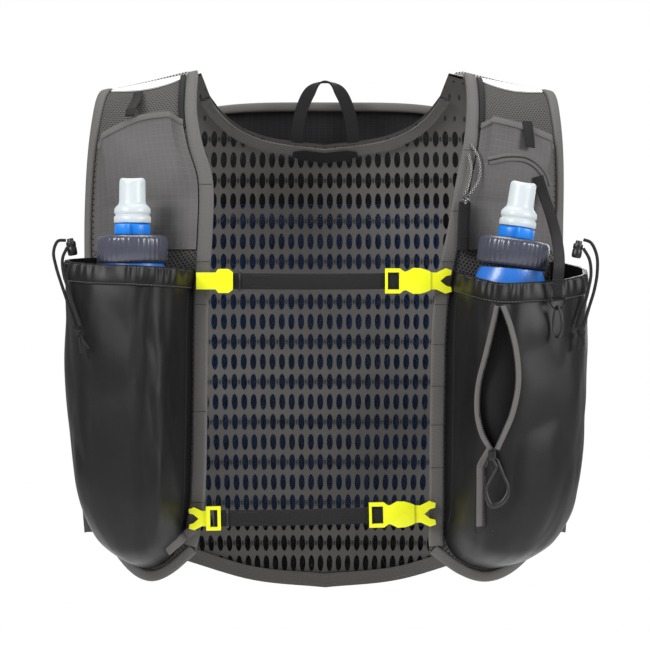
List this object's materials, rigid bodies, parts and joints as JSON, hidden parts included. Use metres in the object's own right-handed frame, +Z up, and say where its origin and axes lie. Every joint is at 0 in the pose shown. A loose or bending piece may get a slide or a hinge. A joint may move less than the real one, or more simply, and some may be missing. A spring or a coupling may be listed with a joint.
{
  "type": "running hydration vest",
  "caption": "Running vest of mesh panels with soft flasks in chest bottle pockets, chest straps with side-release buckles and a reservoir sleeve at the back.",
  "frame": {"origin": "midway between the shoulder straps, level with their crest, where the vest sits on the wearer", "axes": "+X to the right as seen from the front, +Y from the chest to the back, +Z up"},
  "size_m": [0.4089, 0.3332, 0.4241],
  "materials": {
    "mesh": "matt warp-knit mesh",
    "webbing": "matt woven webbing and lining",
    "shell": "satin woven nylon",
    "binding": "matt folded binding",
    "reflective": "satin reflective tape",
    "ripstop": "satin ripstop",
    "pocket": "satin stretch nylon",
    "film": "gloss film",
    "cap": "gloss",
    "lever": "satin",
    "valve": "satin silicone",
    "buckle": "satin moulded",
    "pull": "satin moulded",
    "cord": "braided",
    "wire": "satin",
    "hook": "satin"
  },
  "bodies": {
    "vest": {"left_harness": "mesh", "right_harness": "mesh", "back_mesh": "mesh", "left_side_wing": "mesh", "right_side_wing": "mesh", "back_liner": "webbing", "neck_label": "webbing", "hang_loop": "webbing", "right_pocket_lining": "webbing", "upper_strap": "webbing", "lower_strap": "webbing", "left_pull_tab": "webbing", "right_pull_tab": "webbing", "pull_tab": "webbing", "key_strap": "webbing", "back_shell": "shell", "shell_binding": "binding", "neck_binding": "binding", "bottom_binding": "binding", "left_armhole_binding": "binding", "right_armhole_binding": "binding", "left_edge_tape": "binding", "right_edge_tape": "binding", "left_bottom_binding": "binding", "right_bottom_binding": "binding", "zip_tape": "binding", "left_reflective_band": "reflective", "right_reflective_band": "reflective", "left_top_pocket": "ripstop", "right_top_pocket": "ripstop", "left_pocket_hem": "pocket", "right_pocket_hem": "pocket", "left_bottle_pocket": "pocket", "right_bottle_pocket": "pocket", "reservoir": "film", "left_flask": "film", "right_flask": "film", "left_cap": "cap", "right_cap": "cap", "upper_buckle": "buckle", "whistle_clip": "buckle", "lower_buckle": "buckle", "lower_hook": "buckle", "zip_pull": "pull", "left_cord_lock": "pull", "right_cord_lock": "pull", "left_drawcord_a": "cord", "right_drawcord_a": "cord", "left_drawcord_b": "cord", "right_drawcord_b": "cord", "pull_cord_a": "cord", "pull_cord_b": "cord", "left_knot": "cord", "right_knot": "cord", "key_ring": "wire", "key_hook": "hook"},
    "left_valve_body": {"left_lever": "lever", "left_valve": "valve"},
    "right_valve_body": {"right_lever": "lever", "right_valve": "valve"}
  },
  "joints": [
    {"name": "left_valve_twist", "type": "hinge", "parent": "vest", "child": "left_valve_body", "pos_m": [-0.144, -0.133, -0.1297], "axis": [0, 0, 1], "range_deg": [0, 90]},
    {"name": "right_valve_twist", "type": "hinge", "parent": "vest", "child": "right_valve_body", "pos_m": [0.14219, -0.136, -0.13242], "axis": [0.1478, 0, 0.989], "range_deg": [0, 90]}
  ]
}
